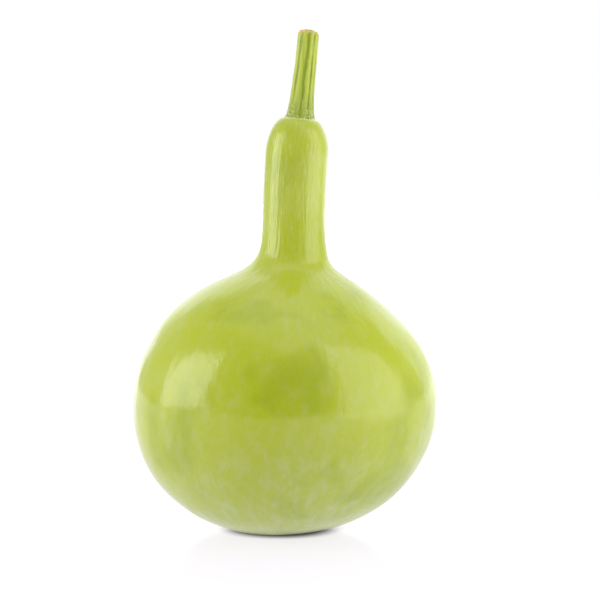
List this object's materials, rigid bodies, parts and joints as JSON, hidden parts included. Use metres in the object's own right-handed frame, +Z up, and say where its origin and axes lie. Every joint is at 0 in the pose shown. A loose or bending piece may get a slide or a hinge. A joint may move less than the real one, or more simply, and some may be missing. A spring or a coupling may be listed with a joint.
{
  "type": "bottle gourd",
  "caption": "Fresh bottle gourd with a round bulb, a long narrow neck and a ribbed cut stalk, standing upright on its blossom end.",
  "frame": {"origin": "centre of the small flat on the blossom end that the gourd stands on", "axes": "+Z up the neck, towards the stalk; the neck and the stalk lean towards +X"},
  "size_m": [0.132, 0.132, 0.2175],
  "materials": {
    "gourd_skin": "satin",
    "gourd_stalk": "matte"
  },
  "bodies": {
    "root": {"fruit": "gourd_skin", "stem": "gourd_stalk"}
  },
  "joints": []
}
